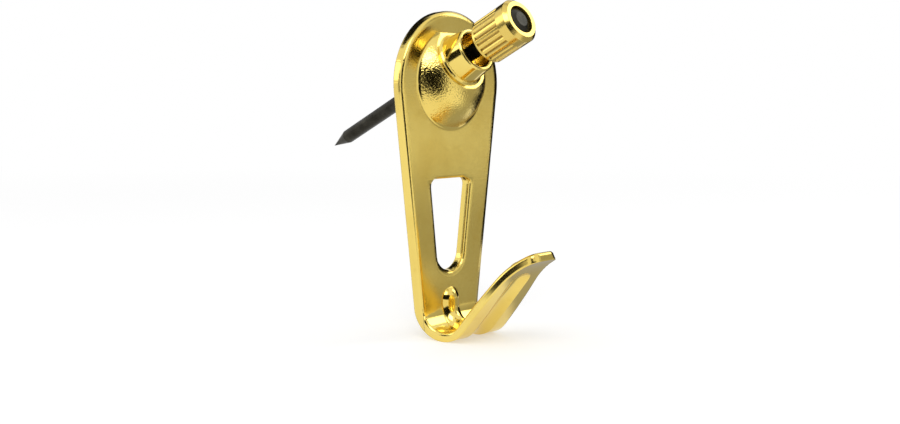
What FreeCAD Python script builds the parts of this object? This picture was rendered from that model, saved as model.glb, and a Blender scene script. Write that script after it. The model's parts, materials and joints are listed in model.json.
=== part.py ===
"""Picture hook: a stamped plate with a domed nail guide and a hook, and its nail in a turned grip.

Millimetres. The wall is the plane Y = 0, the room is on the -Y side and +Z is up.
The origin is the point of the wall that the nail goes through.
"""
import FreeCAD, Part
import math
import os

V = FreeCAD.Vector

# Plate
sheet = 1.0  # thickness of the sheet
head_radius = 7.9  # round top of the plate
head_to_bend = 24.5  # centre of the round top to the start of the bend
waist_width = 9.6  # width where the bend starts, which sets the plate's taper
edge_round = 0.35  # rolled edge of the front face

# Hook at the foot of the plate
bend_radius = 2.4  # inside of the bend
bend_angle = 140.1  # turn from straight down to the rising lip
lip_straight = 7.3  # straight run of the lip after the bend
flare_radius = 10.3  # outward curve of the lip's end, on its outside
flare_angle = 27.5
lip_width = 7.2  # where the lip leaves the bend
tip_width = 3.45  # at the lip's end
lip_corner = 1.1  # rounded corners of the lip's end

# Bead pressed along the bend and the lip
bead_width = 2.6
bead_height = 0.8  # above the inside of the sheet
hollow_width = 3.0
hollow_depth = 0.55  # into the outside of the sheet
bead_rise = 0.6  # centre of the bead's upper end above the start of the bend
bead_stop = 4.0  # centre of the bead's outer end before the end of the lip

# Window
window_drop = 10.4  # centre of the round top to the window's upper edge
window_length = 10.3
window_width = 6.1  # at the upper edge
window_foot = 2.0  # radius of the round lower end
window_corner = 0.8
window_chamfer = 0.25  # broken edge on the front face

# Dome and nail guide
nail_tilt = 25.6  # nail's angle to the level, falling towards the wall
dome_radius = 6.1
dome_depth = 2.1  # centre of the dome behind the wall face
dome_above_head = 0.4  # centre of the dome above the centre of the round top
dome_wall = 0.9
land_at = 5.0  # flat land round the collar, square to the nail, from the dome's centre
land_wall = 0.75  # metal behind the land
dome_root_round = 0.55
dome_back_chamfer = 0.3
guide_radius = 2.5  # outside of the collar round the nail, at its rim
guide_foot_radius = 2.85  # outside of the collar at the land
guide_wall = 0.5
guide_height = 1.45  # collar's rim above the crown of the dome
guide_floor = 0.9  # metal at the bottom of the collar
guide_root_bevel = 0.2
rim_chamfer = 0.15

# Nail
nail_radius = 0.8
nail_length = 32.0  # under the head to the point
nail_point = 2.8
nail_play = 0.03  # between the shank and the holes that it passes through
nail_head_radius = 1.5
nail_head_edge = 0.3  # upright edge of the head
nail_head_crown = 0.35  # height of the sloping top above the edge
nail_head_top = 0.8  # radius of its flat

# Grip
grip_radius = 2.45
grip_length = 5.15
grip_gap = 1.65  # free shank between the guide's rim and the grip
grip_foot = 0.4  # plain ring at the guide's end
grip_cap = 1.5  # plain band at the outer end
grip_chamfer = 0.4
grip_foot_chamfer = 0.15
head_recess = 0.3  # upright edge of the nail's head below the grip's end
head_play = 0.05  # round the head in its recess
flute_count = 22
flute_depth = 0.17
flute_share = 0.62  # part of the pitch that a flute takes

# Places that follow from the sizes above
tilt = math.radians(nail_tilt)
dome_centre = V(0, dome_depth, -dome_depth * math.tan(tilt))
head_centre_z = dome_centre.z - dome_above_head
bend_z = head_centre_z - head_to_bend
front = -sheet
waist = V(waist_width / 2, 0, -head_to_bend)
# The plate's side touches the round top and goes through the waist: this is its lean from upright.
side_lean = -math.atan2(waist.z, waist.x) - math.acos(head_radius / waist.Length)
side_slope = math.tan(side_lean)
turn = math.radians(bend_angle)
flare = math.radians(flare_angle)
bend_centre = V(0, front - bend_radius, bend_z)
lip_across = V(0, math.cos(turn), -math.sin(turn))  # square to the lip, towards its outside
lip_ahead = V(0, -math.sin(turn), -math.cos(turn))  # along the lip, towards its end
lip_reach = lip_straight + (flare_radius + sheet) * math.sin(flare)  # straight ahead from the bend
tip_step = (lip_width - tip_width) / 2
lip_side_radius = (lip_reach ** 2 + tip_step ** 2) / (2 * tip_step)  # curve of the lip's sides
dome_inside = dome_radius - dome_wall
guide_bore = guide_radius - guide_wall
land_back_at = land_at - land_wall
guide_floor_at = land_back_at + guide_floor
rim_at = dome_radius + guide_height
grip_foot_at = rim_at + grip_gap
grip_end_at = grip_foot_at + grip_length
nail_seat_at = grip_end_at - head_recess - nail_head_edge
nail_hole = nail_radius + nail_play
bend_sections = 12  # of the loft round the bend
beyond = 4 * head_radius  # longer than any cut has to be
fine = 1e-4  # below this, two places are the same


def along_nail(shape):
    """Sets a shape made along +Z at the dome's centre on the nail's axis."""
    shape.Placement = FreeCAD.Placement(dome_centre, FreeCAD.Rotation(V(1, 0, 0), 90 - nail_tilt))
    return shape


def rod(radius, start, end):
    """A round bar on the nail's axis between two distances from the dome's centre."""
    return along_nail(Part.makeCylinder(radius, end - start, V(0, 0, start), V(0, 0, 1)))


def turned(points):
    """A solid of revolution on the nail's axis from (radius, distance) points."""
    outline = Part.makePolygon([V(r, 0, s) for r, s in points + points[:1]])
    return along_nail(Part.Face(outline).revolve(V(0, 0, 0), V(0, 0, 1), 360))


def arc(start, middle, end):
    """The edge of an arc through three points."""
    return Part.Arc(start, middle, end).toShape()


def line(start, end):
    """A straight edge."""
    return Part.LineSegment(start, end).toShape()


def mirrored(points):
    """The same points on the other side of the plate, in reverse order."""
    return [V(-p.x, p.y, p.z) for p in reversed(points)]


def edges_where(shape, test):
    """The edges whose points, sampled along them, all pass a test."""
    found = []
    for edge in shape.Edges:
        points = edge.discretize(7)
        if all(test(p) for p in points):
            found.append(edge)
    return found


def tangent_point(outside, centre, radius, side):
    """The point of a circle where a line from an outside point touches it, in the XY plane."""
    to_point = outside - centre
    angle = math.atan2(to_point.y, to_point.x) + side * math.acos(radius / to_point.Length)
    return centre + V(radius * math.cos(angle), radius * math.sin(angle), 0)


def flat_plate():
    """The flat sheet above the bend: a round top and straight sides that touch it."""
    head = V(0, 0, head_centre_z)
    shoulder = head + V(math.cos(side_lean), 0, -math.sin(side_lean)) * head_radius
    foot = head + waist
    other_foot, other_shoulder = mirrored([shoulder, foot])
    wire = Part.Wire([
        arc(other_shoulder, head + V(0, 0, head_radius), shoulder),
        line(shoulder, foot),
        line(foot, other_foot),
        line(other_foot, other_shoulder),
    ])
    return Part.Face(wire).extrude(V(0, front, 0))


def hook_line(depth):
    """The hook's edges in the YZ plane, at a depth into the sheet from its inside, with both end points."""
    bend_reach = bend_radius + depth
    # The flare turns the other way, so its centre is on the outside of the sheet.
    flare_centre = bend_centre + lip_across * (bend_radius + sheet + flare_radius) + lip_ahead * lip_straight
    flare_reach = flare_radius + sheet - depth

    def on_bend(angle):
        return bend_centre + V(0, math.cos(angle), -math.sin(angle)) * bend_reach

    def on_flare(angle):
        return flare_centre - V(0, math.cos(turn - angle), -math.sin(turn - angle)) * flare_reach

    edges = [
        arc(on_bend(0), on_bend(turn / 2), on_bend(turn)),
        line(on_bend(turn), on_flare(0)),
        arc(on_flare(0), on_flare(flare / 2), on_flare(flare)),
    ]
    return edges, on_bend(0), on_flare(flare)


def across_sheet(edges):
    """A block across the waist's whole width, from the closed outline of its side."""
    block = Part.Face(Part.Wire(edges)).extrude(V(waist_width, 0, 0))
    block.translate(V(-waist.x, 0, 0))
    return block


def bend_strip():
    """The bend at full thickness, lofted through sections square to the sheet.

    Its width leaves the plate with the plate's taper and comes smoothly to the lip's width.
    """
    taper_drop = side_slope * bend_radius * turn
    lip_drop = waist.x - lip_width / 2
    sections = []
    for count in range(bend_sections + 1):
        share = count / bend_sections
        spoke = V(0, math.cos(turn * share), -math.sin(turn * share))
        half = waist.x - taper_drop * share * (1 - share) ** 2 - lip_drop * share ** 2 * (3 - 2 * share)
        right = [bend_centre + spoke * reach + V(half, 0, 0) for reach in (bend_radius, bend_radius + sheet)]
        corners = right + mirrored(right)
        sections.append(Part.makePolygon(corners + corners[:1]))
    return Part.makeLoft(sections, True)


def lip_strip():
    """The lip at full thickness, with sides that leave the bend straight ahead and curve in to the tip."""
    _, inside_lip, inside_flare = hook_line(0)[0]
    _, outside_lip, outside_flare = hook_line(sheet)[0]
    root = line(outside_lip.firstVertex(True).Point, inside_lip.firstVertex(True).Point)
    tip = line(inside_flare.lastVertex(True).Point, outside_flare.lastVertex(True).Point)
    block = across_sheet([inside_lip, inside_flare, tip, outside_flare, outside_lip, root])

    def on_side(angle):
        step_in = lip_side_radius * (1 - math.cos(angle))
        return V(lip_width / 2 - step_in, 0, 0) + lip_ahead * (lip_side_radius * math.sin(angle))

    past_tip = math.asin((lip_reach + sheet) / lip_side_radius)
    side = [on_side(0), on_side(past_tip / 2), on_side(past_tip)]
    other_side = mirrored(side)
    outline = Part.Wire([
        arc(*side),
        line(side[-1], other_side[0]),
        arc(*other_side),
        line(other_side[-1], side[0]),
    ])
    tongue = Part.Face(outline).extrude(lip_across * (4 * lip_reach))
    tongue.translate(bend_centre + lip_across * (bend_radius - 2 * lip_reach))
    return block.common(tongue)


def rounded_strip():
    """Plate and hook in one sheet, with the lip's corners and the front edge rounded."""
    strip = flat_plate().fuse([bend_strip(), lip_strip()]).removeSplitter()
    inside, _, inside_end = hook_line(0)
    outside_end = hook_line(sheet)[2]
    end_face = line(inside_end, outside_end)
    front_line = Part.Wire([line(V(0, front, head_centre_z + head_radius), V(0, front, bend_z))] + inside)

    def lies_on(shape, p):
        return shape.distToShape(Part.Vertex(V(0, p.y, p.z)))[0] < fine

    corners = edges_where(strip, lambda p: lies_on(end_face, p))
    corners = [edge for edge in corners if not runs_across(edge)]
    strip = strip.makeFillet(lip_corner, corners)
    rim = edges_where(strip, lambda p: lies_on(front_line, p))
    tip = Part.Vertex(inside_end)
    rim = [edge for edge in rim if not runs_across(edge) or lies_on(tip, edge.CenterOfMass)]
    return strip.makeFillet(edge_round, rim)


def runs_across(edge):
    """True for an edge straight across the sheet."""
    box = edge.BoundBox
    return box.YLength < fine and box.ZLength < fine


def window():
    """The opening in the plate: a level upper edge, tapered sides and a round lower end."""
    top = head_centre_z - window_drop
    foot = V(0, top - window_length + window_foot, 0)
    corner = V(window_width / 2, top, 0)
    touch = tangent_point(corner, foot, window_foot, -1)
    outline = [V(p.x, 0, p.y) for p in (corner, touch, foot - V(0, window_foot, 0))]
    corner, touch, lowest = outline
    touch_left, corner_left = mirrored([corner, touch])
    wire = Part.Wire([
        line(corner, touch),
        arc(touch, lowest, touch_left),
        line(touch_left, corner_left),
        line(corner_left, corner),
    ])
    opening = Part.Face(wire).extrude(V(0, 2 * front, 0))
    opening.translate(V(0, -front / 2, 0))
    upper = edges_where(opening, lambda p: abs(p.z - top) < fine and abs(abs(p.x) - window_width / 2) < fine)
    return opening.makeFillet(window_corner, upper)


def with_window(plate):
    """Cuts the window and rolls its edge on the front face."""
    opening = window()
    box = opening.BoundBox
    plate = plate.cut(opening)

    def on_front_edge(p):
        inside = abs(p.x) < box.XMax + fine and box.ZMin - fine < p.z < box.ZMax + fine
        return inside and abs(p.y - front) < fine

    return plate.makeChamfer(window_chamfer, edges_where(plate, on_front_edge))


def rings(shape, centre, axis, radius, height):
    """The round edges of a radius about an axis, at a height along it from the centre."""
    found = []
    for edge in shape.Edges:
        curve = edge.Curve
        if curve.TypeId != "Part::GeomCircle" or abs(curve.Radius - radius) > fine:
            continue
        step = curve.Center - centre
        if abs(step.dot(axis) - height) < fine and step.cross(axis).Length < fine:
            found.append(edge)
    return found


def with_dome(plate):
    """Raises the dome with its nail guide out of the plate and hollows it from behind."""
    towards_room = V(0, -1, 0)
    nail_axis = V(0, -math.cos(tilt), math.sin(tilt))
    ball = Part.makeSphere(dome_radius, dome_centre)
    room_side = Part.makeBox(2 * beyond, beyond, 2 * beyond, V(-beyond, front / 2 - beyond, -beyond))
    plate = plate.fuse(ball.common(room_side))
    front_height = dome_depth + sheet
    root = math.sqrt(dome_radius ** 2 - front_height ** 2)
    plate = plate.makeFillet(dome_root_round, rings(plate, dome_centre, towards_room, root, front_height))

    before_front = Part.makeBox(2 * beyond, beyond, 2 * beyond, V(-beyond, front - beyond, -beyond))
    plate = plate.cut(rod(dome_radius, land_at, rim_at).common(before_front)).removeSplitter()

    collar = Part.makeCone(guide_foot_radius, guide_radius, rim_at - land_at, V(0, 0, land_at), V(0, 0, 1))
    plate = plate.fuse(along_nail(collar))
    guide_foot = rings(plate, dome_centre, nail_axis, guide_foot_radius, land_at)
    plate = plate.makeChamfer(guide_root_bevel, guide_foot)

    hollow = Part.makeSphere(dome_inside, dome_centre)
    plate = plate.cut(hollow.cut(rod(dome_radius, land_back_at, rim_at)))
    back = math.sqrt(dome_inside ** 2 - dome_depth ** 2)
    back_edge = rings(plate, dome_centre, towards_room, back, dome_depth)
    plate = plate.makeChamfer(dome_back_chamfer, back_edge)

    plate = plate.cut(rod(guide_bore, guide_floor_at, rim_at + sheet))
    plate = plate.cut(rod(nail_hole, 0, rim_at))
    rim = rings(plate, dome_centre, nail_axis, guide_radius, rim_at)
    rim += rings(plate, dome_centre, nail_axis, guide_bore, rim_at)
    return plate.makeChamfer(rim_chamfer, rim)


def bar_along_hook(radius, depth):
    """A round bar with round ends that follows the hook at a depth from the inside of its sheet."""
    bend, lip, flare = hook_line(depth)[0]
    start = bend.Vertexes[0].Point
    top = start + V(0, 0, bead_rise)
    stop = flare.Length - bead_stop
    first, last = flare.ParameterRange
    end_at = flare.getParameterByLength(stop)
    flare = Part.Edge(flare.Curve, first, end_at)
    end = flare.valueAt(end_at)
    path = Part.Wire([line(top, start), bend, lip, flare])
    section = Part.Wire(Part.makeCircle(radius, top, V(0, 0, 1)))
    bar = path.makePipeShell([section], True, True)
    return bar.fuse(Part.makeSphere(radius, top)).fuse(Part.makeSphere(radius, end))


def with_bead(plate):
    """Presses the bead: a ridge on the inside of the hook and a hollow on its outside."""
    half = bead_width / 2
    ridge_radius = (half ** 2 + bead_height ** 2) / (2 * bead_height)
    hollow_half = hollow_width / 2
    hollow_radius = (hollow_half ** 2 + hollow_depth ** 2) / (2 * hollow_depth)
    ridge = bar_along_hook(ridge_radius, ridge_radius - bead_height)
    hollow = bar_along_hook(hollow_radius, sheet + hollow_radius - hollow_depth)
    # Only the half of the ridge's bar on the inside of the sheet's middle belongs to the plate.
    middle, middle_start, middle_end = hook_line(sheet / 2)
    top = middle_start + V(0, 0, head_to_bend)
    out = V(0, middle_end.y, top.z)
    throat = across_sheet([line(top, middle_start)] + middle + [line(middle_end, out), line(out, top)])
    return plate.fuse(ridge.common(throat)).cut(hollow)


def hook_plate():
    """The stamped plate: sheet, window, dome with the nail guide, hook and bead."""
    return with_bead(with_dome(with_window(rounded_strip())))


def nail():
    """The hardened nail: a long point, a plain shank and a low sloping head."""
    shank = nail_seat_at - nail_length
    edge_at = nail_seat_at + nail_head_edge
    crown_at = edge_at + nail_head_crown
    return turned([
        (0, shank),
        (nail_radius, shank + nail_point),
        (nail_radius, nail_seat_at),
        (nail_head_radius, nail_seat_at),
        (nail_head_radius, edge_at),
        (nail_head_top, crown_at),
        (0, crown_at),
    ])


def fluted_bar(start, end):
    """The knurled stretch of the grip: a bar with straight grooves all round it."""
    pitch = 2 * math.pi / flute_count
    half_flute = pitch * flute_share / 2
    bottom = grip_radius - flute_depth

    def on_bar(radius, angle):
        return V(radius * math.cos(angle), radius * math.sin(angle), start)

    edges = []
    for count in range(flute_count):
        centre = count * pitch
        left = on_bar(grip_radius, centre - half_flute)
        right = on_bar(grip_radius, centre + half_flute)
        following = on_bar(grip_radius, centre + pitch - half_flute)
        edges.append(line(left, on_bar(bottom, centre)))
        edges.append(line(on_bar(bottom, centre), right))
        edges.append(arc(right, on_bar(grip_radius, centre + pitch / 2), following))
    return along_nail(Part.Face(Part.Wire(edges)).extrude(V(0, 0, end - start)))


def nail_grip():
    """The turned grip on the nail: plain ends, a fluted middle and a recess for the nail's head."""
    flutes_start = grip_foot_at + grip_foot
    flutes_end = grip_end_at - grip_cap
    foot = rod(grip_radius, grip_foot_at, flutes_start)
    cap = rod(grip_radius, flutes_end, grip_end_at)
    grip = foot.fuse([fluted_bar(flutes_start, flutes_end), cap]).removeSplitter()
    nail_axis = V(0, -math.cos(tilt), math.sin(tilt))
    end_edge = rings(grip, dome_centre, nail_axis, grip_radius, grip_end_at)
    grip = grip.makeChamfer(grip_chamfer, end_edge)
    foot_edge = rings(grip, dome_centre, nail_axis, grip_radius, grip_foot_at)
    grip = grip.makeChamfer(grip_foot_chamfer, foot_edge)
    grip = grip.cut(rod(nail_hole, 0, grip_end_at))
    return grip.cut(rod(nail_head_radius + head_play, nail_seat_at, grip_end_at + sheet))


def main():
    """Writes one STEP file for each piece."""
    os.makedirs("parts", exist_ok=True)
    for make in (hook_plate, nail, nail_grip):
        piece = make()
        piece.exportStep(f"parts/{make.__name__}.step")
        print(make.__name__, piece.isValid(), len(piece.Solids), round(piece.Volume, 3), piece.BoundBox)


if __name__ == "__main__":
    main()
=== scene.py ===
"""Picture hook: the looks of its stamped brass plate, its steel nail and its turned brass grip."""
import json
import math

import bpy
from mathutils import Matrix, Vector


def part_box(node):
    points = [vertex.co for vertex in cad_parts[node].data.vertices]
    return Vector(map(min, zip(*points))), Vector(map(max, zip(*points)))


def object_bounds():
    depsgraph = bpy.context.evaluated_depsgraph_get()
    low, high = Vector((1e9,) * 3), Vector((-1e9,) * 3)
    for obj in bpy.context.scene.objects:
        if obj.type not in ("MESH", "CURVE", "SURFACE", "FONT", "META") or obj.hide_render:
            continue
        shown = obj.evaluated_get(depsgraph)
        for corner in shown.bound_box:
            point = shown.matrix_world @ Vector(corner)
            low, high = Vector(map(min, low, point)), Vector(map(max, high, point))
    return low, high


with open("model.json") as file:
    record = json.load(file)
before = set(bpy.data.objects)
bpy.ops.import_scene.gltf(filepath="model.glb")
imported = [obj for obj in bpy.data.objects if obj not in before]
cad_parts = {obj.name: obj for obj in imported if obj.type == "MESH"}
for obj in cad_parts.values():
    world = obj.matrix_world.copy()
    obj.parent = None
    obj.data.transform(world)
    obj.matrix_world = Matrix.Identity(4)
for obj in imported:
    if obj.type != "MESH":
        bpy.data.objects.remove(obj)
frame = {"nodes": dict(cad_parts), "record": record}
cad_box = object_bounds()

bl_info = {
    "name": "Picture hook looks",
    "version": (1, 0, 0),
    "blender": (4, 5, 0),
    "location": "3D View > Sidebar > Picture hook",
    "description": "Finishes a picture hook's plate, nail and grip and sets up a small studio",
    "category": "Material",
}

MM = 0.001
WHITE = (1.0, 1.0, 1.0, 1.0)
# The kinds of ray that see the pale surroundings themselves
SEEING_RAYS = ("Is Camera Ray", "Is Glossy Ray", "Is Transmission Ray")
# Places of the colour sockets on a Mix node
MIX_FIRST, MIX_SECOND, MIX_RESULT = 6, 7, 2
EDGE_SAMPLES = 8


class Socket:
    """A node's output socket that takes part in Python expressions."""

    def __init__(self, paint, socket):
        self.paint = paint
        self.socket = socket

    def maths(self, operation, *others):
        """A Math node with this socket as its first value."""
        return self.paint.maths(operation, self, *others)

    def __add__(self, other):
        return self.maths("ADD", other)

    def __sub__(self, other):
        return self.maths("SUBTRACT", other)

    def __mul__(self, other):
        return self.maths("MULTIPLY", other)

    def __truediv__(self, other):
        return self.maths("DIVIDE", other)

    __radd__ = __add__
    __rmul__ = __mul__

    def __rsub__(self, other):
        return self.paint.maths("SUBTRACT", other, self)

    def __rtruediv__(self, other):
        return self.paint.maths("DIVIDE", other, self)

    def ramp(self, low, high):
        """0 below low, 1 above high and a smooth step between them."""
        inputs = {"Value": self, "From Min": low, "From Max": high}
        return self.paint.node("ShaderNodeMapRange", {"interpolation_type": "SMOOTHSTEP"}, inputs)

    def band(self, middle, half, soft):
        """1 within half of the middle value, falling to 0 over a soft edge."""
        away = (self - middle).maths("ABSOLUTE")
        return 1 - away.ramp(half, half + soft)

    def centred(self):
        """Noise from 0 to 1 as a swing about 0."""
        return self - 0.5


class Paint:
    """The nodes of a new material or world."""

    def __init__(self, owner):
        owner.use_nodes = True
        self.owner = owner
        self.tree = owner.node_tree
        self.tree.nodes.clear()

    def node(self, kind, settings=None, inputs=None, output=0):
        """Adds a node: its settings first, then the values or links of its sockets."""
        node = self.tree.nodes.new(kind)
        for name, value in (settings or {}).items():
            setattr(node, name, value)
        for name, value in (inputs or {}).items():
            if isinstance(value, Socket):
                self.tree.links.new(value.socket, node.inputs[name])
            else:
                node.inputs[name].default_value = value
        return Socket(self, node.outputs[output]) if node.outputs else None

    def maths(self, operation, *values):
        """A Math node."""
        return self.node("ShaderNodeMath", {"operation": operation}, dict(enumerate(values)))

    def place(self, kind="Object"):
        """The coordinates of a point on the surface."""
        return self.node("ShaderNodeTexCoord", output=kind)

    def split(self, vector):
        """The three coordinates of a vector."""
        outputs = self.node("ShaderNodeSeparateXYZ", inputs={"Vector": vector}).socket.node.outputs
        return [Socket(self, outputs[axis]) for axis in "XYZ"]

    def distance(self, first, second):
        """How far apart two points are."""
        inputs = {0: first, 1: second}
        return self.node("ShaderNodeVectorMath", {"operation": "DISTANCE"}, inputs, output="Value")

    def noise(self, place, size, detail, stretch=(1.0, 1.0, 1.0), turn=(0.0, 0.0, 0.0)):
        """Cloudy noise from 0 to 1, of a size in metres and drawn out along an axis by stretch."""
        scale = [1 / (size * factor) for factor in stretch]
        inputs = {"Vector": place, "Rotation": turn}
        turned = self.node("ShaderNodeMapping", {"vector_type": "TEXTURE"}, inputs)
        inputs = {0: turned, 1: scale}
        scaled = self.node("ShaderNodeVectorMath", {"operation": "MULTIPLY"}, inputs)
        inputs = {"Vector": scaled, "Scale": 1.0, "Detail": detail}
        return self.node("ShaderNodeTexNoise", inputs=inputs)

    def mix(self, share, first, second):
        """One colour turning into another."""
        inputs = {"Factor": share, MIX_FIRST: first, MIX_SECOND: second}
        return self.node("ShaderNodeMix", {"data_type": "RGBA"}, inputs, output=MIX_RESULT)

    def blend(self, share, first, second):
        """One shader turning into another; None stands for nothing."""
        inputs = {0: share, 1: first, 2: second}
        shaders = {name: shader for name, shader in inputs.items() if shader is not None}
        return self.node("ShaderNodeMixShader", inputs=shaders)

    def seen(self):
        """1 for the rays that see the pale surroundings, 0 for those that only light the hook."""
        outputs = self.node("ShaderNodeLightPath").socket.node.outputs
        total, *others = [Socket(self, outputs[name]) for name in SEEING_RAYS]
        for ray in others:
            total = total.maths("MAXIMUM", ray)
        return total

    def rounding(self, radius):
        """The normal of the surface with its edges softly rounded."""
        return self.node("ShaderNodeBevel", {"samples": EDGE_SAMPLES}, {"Radius": radius})

    def bump(self, height, distance, strength, normal):
        """The normal of a relief on a surface with a normal of its own."""
        inputs = {"Height": height, "Distance": distance, "Strength": strength, "Normal": normal}
        return self.node("ShaderNodeBump", inputs=inputs)

    def metal(self, colour, roughness, normal):
        """Closes a material with a bare metal surface."""
        inputs = {"Base Color": colour, "Metallic": 1.0, "Roughness": roughness, "Normal": normal}
        return self.close(self.node("ShaderNodeBsdfPrincipled", inputs=inputs))

    def close(self, shader, output="ShaderNodeOutputMaterial"):
        """Links the last shader to the output and gives the finished material or world."""
        self.node(output, inputs={"Surface": shader})
        return self.owner


def new_finish(name):
    """The nodes of a new material."""
    return Paint(bpy.data.materials.new(name))


def wear(node, material):
    """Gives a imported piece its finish."""
    piece = frame["nodes"][node]
    piece.data.materials.clear()
    piece.data.materials.append(material)


def opaque(colour):
    """A colour with its alpha."""
    return (*colour, 1.0)


def weigh(marks, weights):
    """The sum of the marks that have a weight, each times its own."""
    return sum(marks[name] * weight for name, weight in weights.items())


def colour_property(name, description, default):
    """A colour for a property group."""
    return bpy.props.FloatVectorProperty(
        name=name, description=description, default=default, size=3, subtype="COLOR",
        min=0.0, max=1.0)


def length_property(name, description, default):
    """A length in metres for a property group."""
    return bpy.props.FloatProperty(
        name=name, description=description, default=default, subtype="DISTANCE", unit="LENGTH",
        precision=5)


def share_property(name, description, default):
    """A share from 0 to 1 for a property group."""
    return bpy.props.FloatProperty(
        name=name, description=description, default=default, subtype="FACTOR", min=0.0, max=1.0)


def angle_property(name, description, default):
    """An angle for a property group, given in degrees."""
    return bpy.props.FloatProperty(
        name=name, description=description, default=math.radians(default), subtype="ANGLE")


class PlateFinish(bpy.types.PropertyGroup):
    """The finish of the stamped plate."""

    brass: colour_property("Brass", "Bright plating", (0.86, 0.66, 0.175))
    tarnish: colour_property("Tarnish", "Duller patches of the plating", (0.72, 0.49, 0.08))
    satin: share_property("Satin", "Roughness of the flat faces", 0.13)
    polish: share_property("Polish", "Roughness of the pressed forms and edges", 0.08)
    hollow: share_property("Hollow", "Roughness of the hollow behind the dome", 0.34)
    grain: length_property("Grain", "Size of the flat face's grain", 0.00012)
    peel: length_property("Peel", "Size of the dimples on the drawn dome", 0.0002)
    sheet: length_property("Sheet", "Thickness of the plate", 0.001)
    dome_radius: length_property("Dome radius", "Radius of the drawn dome", 0.0061)
    dome_depth: length_property("Dome depth", "Centre of the dome behind the wall face", 0.0021)
    edge: length_property("Edge", "Radius that softens the plate's edges", 0.00025)
    roll: length_property("Roll", "Width of the edges that the die rolled over", 0.00085)
    roll_depth: length_property("Roll depth", "Depth of the rolled edges", 0.0003)
    head_drop: length_property(
        "Head drop", "Centre of the round top below the nail's way into the wall", 0.001406)
    head_radius: length_property("Head radius", "Radius of the round top", 0.0079)
    side_lean: angle_property("Side lean", "Lean of the plate's sides", 7.37)
    window_drop: length_property(
        "Window drop", "Upper edge of the window below the nail's way into the wall", 0.0118)
    foot_drop: length_property(
        "Foot drop", "Centre of the window's foot below the nail's way into the wall", 0.0201)
    foot_radius: length_property("Foot radius", "Radius of the window's round foot", 0.002)
    window_lean: angle_property("Window lean", "Lean of the window's sides", 7.11)


class NailFinish(bpy.types.PropertyGroup):
    """The finish of the hardened nail."""

    steel: colour_property("Steel", "Hardened steel", (0.05, 0.047, 0.036))
    bloom: colour_property("Bloom", "Darker oxide on the steel", (0.012, 0.011, 0.008))
    roughness: share_property("Roughness", "Roughness of the shank", 0.26)
    streak: length_property("Streak", "Width of the drawing streaks along the shank", 0.00012)
    edge: length_property("Edge", "Radius that softens the nail's edges", 0.0001)


class GripFinish(bpy.types.PropertyGroup):
    """The finish of the turned grip."""

    brass: colour_property("Brass", "Turned brass", (0.75, 0.55, 0.135))
    # Painted shade: the brown in the bottoms of the grooves stands in for the shade that falls
    # there
    groove_shade: colour_property("Painted groove shade", "Brown in the bottoms of the grooves", (0.26, 0.16, 0.045))
    roughness: share_property("Roughness", "Roughness of the turned faces", 0.16)
    turning: length_property("Turning", "Width of the turning marks", 0.00008)
    edge: length_property("Edge", "Radius that softens the grip's edges", 0.00008)


class StudioLayout(bpy.types.PropertyGroup):
    """The camera, the floor and the lights."""

    eye: bpy.props.FloatVectorProperty(
        name="Eye", description="Place of the camera", default=(-0.08899, -0.08378, -0.002486),
        subtype="XYZ", unit="LENGTH")
    azimuth: angle_property("Azimuth", "Camera's direction round the hook", -47.02)
    elevation: angle_property("Elevation", "Camera's angle above the level", 6.15)
    roll: angle_property("Roll", "Camera's turn about its own axis", 0.21)
    lens: bpy.props.FloatProperty(
        name="Lens", description="Focal length on a 36 mm sensor", default=43.93, unit="CAMERA")
    floor_size: length_property("Floor", "Side of the square floor", 3.0)
    floor_tone: colour_property("Floor tone", "Colour of the floor", (0.75, 0.75, 0.75))
    floor_glow: share_property(
        "Floor glow", "Light that lifts the floor to white where it is seen", 0.4)
    daylight: share_property("Daylight", "Light from all round", 0.6)


def nail_axis():
    """The nail's direction, from its grip to its point."""
    axis = next(m for m in frame["record"]["mounts"] if m["name"] == "wall_nail")["axis"]
    return Vector(axis).normalized()


def pear(across, along, radius, lean):
    """Distance outside the outline of a round end with straight sides that lean in behind it."""
    end = (across * across + along * along).maths("SQRT")
    side = across * math.cos(lean) + along * math.sin(lean)
    past = along.maths("GREATER_THAN", radius * math.sin(lean))
    return end + past * (side - end) - radius


def near_edge(away, width):
    """1 at an edge, falling smoothly to 0 over a width."""
    near = (1 - away / width).maths("MAXIMUM", 0.0)
    return near * near


# Half depth and soft edge of the layers at the plate's flat faces and at the dome's skin
FACE_HALF, FACE_SOFT = 0.02 * MM, 0.04 * MM
DOME_HALF, DOME_SOFT = 0.03 * MM, 0.05 * MM
# Where the dome begins before the plate, in thicknesses of the sheet
DOME_START = (-1.25, -1.1)
# The hollow's wall, under the dome's skin
HOLLOW_WALL = (0.8 * MM, 0.6 * MM)
# Sizes of the plate's marks, and the levels of noise between which each one sets in
CLOUD_SIZE, CLOUD_LEVELS = 6 * MM, (0.35, 0.75)
STAIN_SIZE, STAIN_LEVELS = 1.4 * MM, (0.56, 0.8)
PIT_LEVELS = (0.4, 0.75)
SCRATCH_SIZE, SCRATCH_STRETCH, SCRATCH_TURN = 0.1 * MM, (1.0, 1.0, 22.0), (0.0, 0.25, 0.0)
# What each mark adds to the plate's tarnish and roughness
PLATE_DULL = {"patches": 0.45, "stains": 0.25, "pits": 0.35, "back": 0.2}
PLATE_ROUGH = {"clouds": 0.03, "stains": 0.05}
# Heights of the plate's fine relief, and the depth and strength of the whole
GRAIN_HEIGHT, SCRATCH_HEIGHT, PEEL_HEIGHT = 1.1, 0.7, 7.0
PLATE_RELIEF = (0.012 * MM, 0.55)


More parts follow.
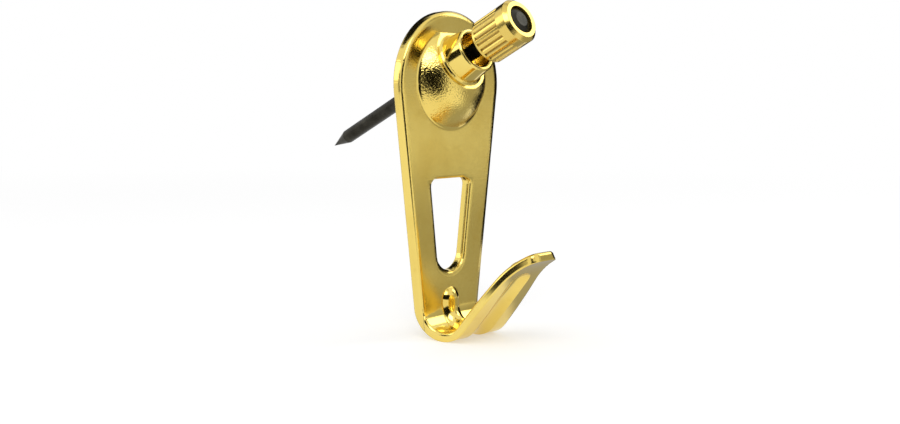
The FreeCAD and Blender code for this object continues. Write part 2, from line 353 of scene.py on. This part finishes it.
class HOOK_OT_plate(bpy.types.Operator):
    """Finishes the stamped plate"""

    bl_idname = "hook.plate"
    bl_label = "Finish the plate"

    def execute(self, context):
        look = context.scene.hook_plate_finish
        paint = new_finish("plate_brass")
        place = paint.place()
        x, y, z = paint.split(place)

        # The parts of the plate
        axis = nail_axis()
        reach = paint.distance(place, axis * (look.dome_depth / axis.y))
        flat = y.band(-look.sheet, FACE_HALF, FACE_SOFT)
        back = y.ramp(-FACE_HALF, 0.0)
        matt = flat.maths("MAXIMUM", back)
        plate = y.ramp(*(start * look.sheet for start in DOME_START))
        dome = (1 - plate) * reach.band(look.dome_radius, DOME_HALF, DOME_SOFT)
        hollow = 1 - reach.ramp(*(look.dome_radius - wall for wall in HOLLOW_WALL))

        # Tarnish and gloss
        clouds = paint.noise(place, CLOUD_SIZE, detail=4.0)
        stains = paint.noise(place, STAIN_SIZE, detail=5.0).ramp(*STAIN_LEVELS)
        grain = paint.noise(place, look.grain, detail=2.0)
        marks = {
            "clouds": clouds,
            "patches": clouds.ramp(*CLOUD_LEVELS),
            "stains": stains,
            "pits": matt * grain.ramp(*PIT_LEVELS),
            "back": back,
        }
        dull = weigh(marks, PLATE_DULL).maths("MINIMUM", 1.0)
        colour = paint.mix(dull, opaque(look.brass), opaque(look.tarnish))
        satin = matt * (look.satin - look.polish) + hollow * (look.hollow - look.polish)
        roughness = look.polish + satin + weigh(marks, PLATE_ROUGH)

        # Rolled edges, then the grain and scratches of the flat and the dimples of the dome
        across = x.maths("ABSOLUTE")
        outline = pear(across, -look.head_drop - z, look.head_radius, look.side_lean)
        window = pear(across, z + look.foot_drop, look.foot_radius, -look.window_lean)
        beside = 1 - z.ramp(-look.window_drop - look.roll, -look.window_drop)
        rolled = near_edge(0 - outline, look.roll) + beside * near_edge(window, look.roll)
        rounded = paint.rounding(look.edge)
        shape = paint.bump(1 - plate * rolled, look.roll_depth, strength=1.0, normal=rounded)
        peel = paint.noise(place, look.peel, detail=2.0)
        scratches = paint.noise(
            place, SCRATCH_SIZE, detail=2.0, stretch=SCRATCH_STRETCH, turn=SCRATCH_TURN)
        brushed = grain.centred() * GRAIN_HEIGHT + scratches.centred() * SCRATCH_HEIGHT
        relief = matt * brushed + dome * peel.centred() * PEEL_HEIGHT
        normal = paint.bump(relief, *PLATE_RELIEF, shape)
        wear("hook_plate", paint.metal(colour, roughness, normal))
        return {"FINISHED"}


# Sizes of the nail's marks, and the levels of noise between which each one sets in
OXIDE_SIZE, OXIDE_LEVELS = 2.2 * MM, (0.35, 0.7)
SPECK_SIZE, SPECK_LEVELS = 0.25 * MM, (0.6, 0.75)
STREAK_STRETCH = (1.0, 40.0, 1.0)
# What each mark adds to the nail's oxide, roughness and relief, and the relief's depth and strength
NAIL_DARK = {"patches": 0.6, "specks": 0.5, "streaks": 0.2}
NAIL_ROUGH = {"clouds": 0.12, "streaks": 0.08}
NAIL_HEIGHT = {"streaks": 0.6, "specks": 0.5}
NAIL_RELIEF = (0.01 * MM, 0.6)


class HOOK_OT_nail(bpy.types.Operator):
    """Finishes the hardened nail"""

    bl_idname = "hook.nail"
    bl_label = "Finish the nail"

    def execute(self, context):
        look = context.scene.hook_nail_finish
        paint = new_finish("nail_steel")
        place = paint.place()
        lean = Vector((0.0, 1.0, 0.0)).rotation_difference(nail_axis()).to_euler()
        clouds = paint.noise(place, OXIDE_SIZE, detail=4.0)
        streaks = paint.noise(place, look.streak, detail=3.0, stretch=STREAK_STRETCH, turn=lean)
        marks = {
            "clouds": clouds,
            "patches": clouds.ramp(*OXIDE_LEVELS),
            "specks": paint.noise(place, SPECK_SIZE, detail=4.0).ramp(*SPECK_LEVELS),
            "streaks": streaks,
        }
        dark = weigh(marks, NAIL_DARK).maths("MINIMUM", 1.0)
        colour = paint.mix(dark, opaque(look.steel), opaque(look.bloom))
        roughness = look.roughness + weigh(marks, NAIL_ROUGH)
        height = weigh(marks, NAIL_HEIGHT)
        normal = paint.bump(height, *NAIL_RELIEF, paint.rounding(look.edge))
        wear("nail", paint.metal(colour, roughness, normal))
        return {"FINISHED"}


# Where the grooves begin behind the grip's outer end, and their depth in shares of its radius
GROOVE_START = (0.8 * MM, 1.2 * MM)
GROOVE_DEPTH = (0.93, 0.985)
# Size of the clouds in the painted groove shade, its least share in a groove and what the clouds
# add to it
GROOVE_SHADE_SIZE, GROOVE_SHADE_LEAST, GROOVE_SHADE_MORE = 1.6 * MM, 0.55, 0.5
# What each mark adds to the grip's roughness and relief, and the relief's depth and strength
GRIP_ROUGH = {"groove_shade": 0.2, "clouds": 0.08}
GRIP_HEIGHT = {"rings": 0.5, "clouds": 0.2}
GRIP_RELIEF = (0.008 * MM, 0.5)


class HOOK_OT_grip(bpy.types.Operator):
    """Finishes the turned grip"""

    bl_idname = "hook.grip"
    bl_label = "Finish the grip"

    def execute(self, context):
        look = context.scene.hook_grip_finish
        paint = new_finish("grip_brass")
        place = paint.place()
        x, y, z = paint.split(place)
        axis = nail_axis()
        along = x * axis.x + y * axis.y + z * axis.z
        reach = (x * x + y * y + z * z - along * along).maths("SQRT")
        low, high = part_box("nail_grip")
        radius = (high.x - low.x) / 2
        corners = frame["nodes"]["nail_grip"].data.vertices
        outer_end = min(axis.dot(corner.co) for corner in corners)
        grooves = (along - outer_end).ramp(*GROOVE_START)
        # Painted shade: the groove bottoms turn towards a darker brown, varied by clouds, and are
        # rougher there
        depth = grooves * (1 - (reach / radius).ramp(*GROOVE_DEPTH))
        clouds = paint.noise(place, GROOVE_SHADE_SIZE, detail=4.0)
        groove_shade = (depth * (GROOVE_SHADE_LEAST + clouds * GROOVE_SHADE_MORE)).maths("MINIMUM", 1.0)
        line = paint.node("ShaderNodeCombineXYZ", inputs={"X": along})
        rings = paint.noise(line, look.turning, detail=2.0)
        marks = {"clouds": clouds, "groove_shade": groove_shade, "rings": rings}
        colour = paint.mix(groove_shade, opaque(look.brass), opaque(look.groove_shade))
        roughness = look.roughness + weigh(marks, GRIP_ROUGH)
        height = weigh(marks, GRIP_HEIGHT)
        normal = paint.bump(height, *GRIP_RELIEF, paint.rounding(look.edge))
        wear("nail_grip", paint.metal(colour, roughness, normal))
        return {"FINISHED"}


SENSOR_WIDTH = 36.0
CLIP_START = 5 * MM
# Distances from the floor's middle between which it turns plain white
FLOOR_FADE = (0.08, 0.3)
# Points that the lamps and the standing cards face
LAMP_AIM = Vector((0.0, 0.0, -10 * MM))
CARD_AIM = Vector((0.0, -4 * MM, -12 * MM))
# Name, azimuth and elevation in degrees, distance, side and level
LAMPS = (
    ("key_lamp", -56, 46, 0.5, 0.25, 3.5),
    ("left_lamp", -130, 8, 0.5, 0.3, 1.15),
    ("right_lamp", 64, 34, 0.5, 0.2, 2.2),
)
CARD_TONES = {"white": 0.95, "pale": 0.84, "tan": 0.54, "dusk": 0.42, "dark": 0.01}
# The middle of a card along each side, in shares of that side
CARD_MIDDLE = 0.5
# Height between the cards that lie on the floor, so that no two share a plane
CARD_LAYER = 0.1 * MM
# Name, azimuth and elevation in degrees, distance, size, tone and soft share
STANDING_CARDS = (
    ("front_card", 33, -10, 0.3, (0.19, 0.12), "pale", 0.2),
    ("front_top_card", 33, 11, 0.3, (0.19, 0.12), "tan", 0.2),
    ("right_card", 58, -10, 0.31, (0.13, 0.12), "tan", 0.2),
    ("right_top_card", 58, 11, 0.31, (0.13, 0.12), "dusk", 0.2),
    ("crown_card", 41, 33, 0.3, (0.12, 0.12), "dusk", 0.3),
    ("edge_card", 98, 4, 0.29, (0.4, 0.26), "dark", 0.1),
    ("camera_card", -44, 6, 0.3, (0.4, 0.34), "dark", 0.3),
    ("side_card", -129, -6, 0.14, (0.1, 0.08), "white", 0.3),
    ("collar_card", -114, 7, 0.114, (0.042, 0.06), "dark", 0.3),
    ("back_card", 150, 33, 0.3, (0.28, 0.22), "dark", 0.5),
    ("top_card", 182, 60, 0.31, (0.28, 0.28), "dark", 0.4),
)
# Name, place on the floor, size, tone and soft share
LYING_CARDS = (
    ("lip_card", 22.4 * MM, -7 * MM, (0.035, 0.042), "dusk", 0.15),
    ("far_card", 112 * MM, -97 * MM, (0.186, 0.186), "dusk", 0.15),
    ("before_card", -122 * MM, -132 * MM, (0.22, 0.22), "dark", 0.2),
    ("beside_card", 185 * MM, 66 * MM, (0.27, 0.188), "dark", 0.1),
)


def outward(azimuth, elevation):
    """The direction from the hook towards a view, by the view's angles in radians."""
    level = math.cos(elevation)
    return Vector((math.sin(azimuth) * level, -math.cos(azimuth) * level, math.sin(elevation)))


def around(azimuth, elevation, distance):
    """A step away from the hook, by the angles of a view in degrees."""
    return outward(math.radians(azimuth), math.radians(elevation)) * distance


def facing(centre, aim, front):
    """The place and turn of a thing whose front axis faces a point."""
    turn = (Vector(aim) - Vector(centre)).to_track_quat(front, "Y").to_matrix().to_4x4()
    return Matrix.Translation(Vector(centre)) @ turn


def sheet_mesh(name, width, height, material):
    """A flat rectangle about its own middle."""
    x, y = width / 2, height / 2
    mesh = bpy.data.meshes.new(name)
    mesh.from_pydata([(-x, -y, 0), (x, -y, 0), (x, y, 0), (-x, y, 0)], [], [(0, 1, 2, 3)])
    mesh.materials.append(material)
    return mesh


def set_up(name, data, place):
    """Stands a thing of the studio in its place."""
    piece = bpy.data.objects.new(name, data)
    piece.matrix_world = place
    bpy.context.scene.collection.objects.link(piece)
    return piece


def card_finish(name, tone, soft):
    """An even grey that fades out towards the card's edges over a soft share of its size."""
    paint = new_finish(name)
    across, up, _ = paint.split(paint.place("Generated"))
    whole = (1 - soft) / 2
    fade = across.band(CARD_MIDDLE, whole, soft / 2) * up.band(CARD_MIDDLE, whole, soft / 2)
    inputs = {"Color": opaque([tone] * 3), "Strength": 1.0}
    glow = paint.node("ShaderNodeEmission", inputs=inputs)
    return paint.close(paint.blend(fade, paint.node("ShaderNodeBsdfTransparent"), glow))


def card(name, centre, aim, size, tone, soft):
    """A card that faces a point: the metal mirrors it and the camera doesn't see it."""
    mesh = sheet_mesh(name, *size, card_finish(name, CARD_TONES[tone], soft))
    piece = set_up(name, mesh, facing(centre, aim, "Z"))
    piece.visible_camera = False
    piece.visible_diffuse = False
    piece.visible_shadow = False


def lamp(name, centre, aim, size, level):
    """A soft square lamp that faces a point; a level of 1 is white."""
    light = bpy.data.lights.new(name, "AREA")
    light.size = size
    light.energy = level * math.pi * size ** 2
    set_up(name, light, facing(centre, aim, "-Z"))


class HOOK_OT_studio(bpy.types.Operator):
    """Sets up the camera, the floor and the lights"""

    bl_idname = "hook.studio"
    bl_label = "Set up the studio"

    def execute(self, context):
        layout = context.scene.hook_studio_layout
        self.set_camera(context.scene, layout)
        self.lay_floor(layout)
        self.light_round(context.scene, layout)
        self.stand_cards()
        context.scene.view_settings.view_transform = "Standard"
        return {"FINISHED"}

    def set_camera(self, scene, layout):
        """Places the camera by its angles and its turn about its own axis."""
        back = outward(layout.azimuth, layout.elevation)
        level = Vector((math.cos(layout.azimuth), math.sin(layout.azimuth), 0.0))
        upright = back.cross(level)
        right = level * math.cos(layout.roll) + upright * math.sin(layout.roll)
        up = upright * math.cos(layout.roll) - level * math.sin(layout.roll)
        camera = bpy.data.cameras.new("camera")
        camera.lens = layout.lens
        camera.sensor_width = SENSOR_WIDTH
        camera.clip_start = CLIP_START
        turn = Matrix((right, up, back)).transposed().to_4x4()
        scene.camera = set_up("camera", camera, Matrix.Translation(layout.eye) @ turn)

    def lay_floor(self, layout):
        """Lays a pale floor that keeps the hook's shadow and turns white further out."""
        low, _ = cad_box
        paint = new_finish("floor_white")
        matt = paint.node("ShaderNodeBsdfDiffuse", inputs={"Color": opaque(layout.floor_tone)})
        seen = paint.seen()
        glow = paint.node("ShaderNodeEmission", inputs={"Strength": layout.floor_glow})
        near = {0: matt, 1: paint.blend(seen, None, glow)}
        white = paint.node("ShaderNodeEmission", inputs={"Strength": 1.0})
        far = paint.blend(seen, matt, white)
        reach = paint.distance(paint.place(), (0.0, 0.0, 0.0))
        share = reach.ramp(*FLOOR_FADE)
        both = paint.blend(share, paint.node("ShaderNodeAddShader", inputs=near), far)
        mesh = sheet_mesh("floor", layout.floor_size, layout.floor_size, paint.close(both))
        set_up("floor", mesh, Matrix.Translation((0.0, 0.0, low.z)))

    def light_round(self, scene, layout):
        """Makes the white surroundings and hangs the lamps."""
        paint = Paint(bpy.data.worlds.new("studio"))
        inputs = {"Color": WHITE, "Strength": layout.daylight}
        dim = paint.node("ShaderNodeBackground", inputs=inputs)
        white = paint.node("ShaderNodeBackground", inputs={"Color": WHITE, "Strength": 1.0})
        scene.world = paint.close(paint.blend(paint.seen(), dim, white), "ShaderNodeOutputWorld")
        for name, azimuth, elevation, distance, size, level in LAMPS:
            lamp(name, around(azimuth, elevation, distance), LAMP_AIM, size, level)

    def stand_cards(self):
        """Stands the cards round the hook and lays the others on the floor."""
        low, _ = cad_box
        for name, azimuth, elevation, distance, size, tone, soft in STANDING_CARDS:
            centre = CARD_AIM + around(azimuth, elevation, distance)
            card(name, centre, CARD_AIM, size, tone, soft)
        for layer, (name, x, y, size, tone, soft) in enumerate(LYING_CARDS, 1):
            centre = Vector((x, y, low.z + layer * CARD_LAYER))
            card(name, centre, centre + Vector((0.0, 0.0, 1.0)), size, tone, soft)


class HOOK_PT_panel(bpy.types.Panel):
    """Lists the steps that finish the hook"""

    bl_idname = "HOOK_PT_panel"
    bl_label = "Picture hook"
    bl_space_type = "VIEW_3D"
    bl_region_type = "UI"
    bl_category = "Picture hook"

    def draw(self, context):
        for operator in STEPS:
            self.layout.operator(operator.bl_idname)


STEPS = (HOOK_OT_plate, HOOK_OT_nail, HOOK_OT_grip, HOOK_OT_studio)
GROUPS = {
    "hook_plate_finish": PlateFinish,
    "hook_nail_finish": NailFinish,
    "hook_grip_finish": GripFinish,
    "hook_studio_layout": StudioLayout,
}


def register():
    """Registers the classes and gives the scene their values."""
    for kind in (*GROUPS.values(), *STEPS, HOOK_PT_panel):
        bpy.utils.register_class(kind)
    for name, group in GROUPS.items():
        setattr(bpy.types.Scene, name, bpy.props.PointerProperty(type=group))


def unregister():
    """Takes back what register did."""
    for name in GROUPS:
        delattr(bpy.types.Scene, name)
    for kind in (HOOK_PT_panel, *reversed(STEPS), *reversed(GROUPS.values())):
        bpy.utils.unregister_class(kind)


def main():
    """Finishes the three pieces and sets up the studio."""
    register()
    bpy.ops.hook.plate()
    bpy.ops.hook.nail()
    bpy.ops.hook.grip()
    bpy.ops.hook.studio()


if __name__ == "__main__":
    main()
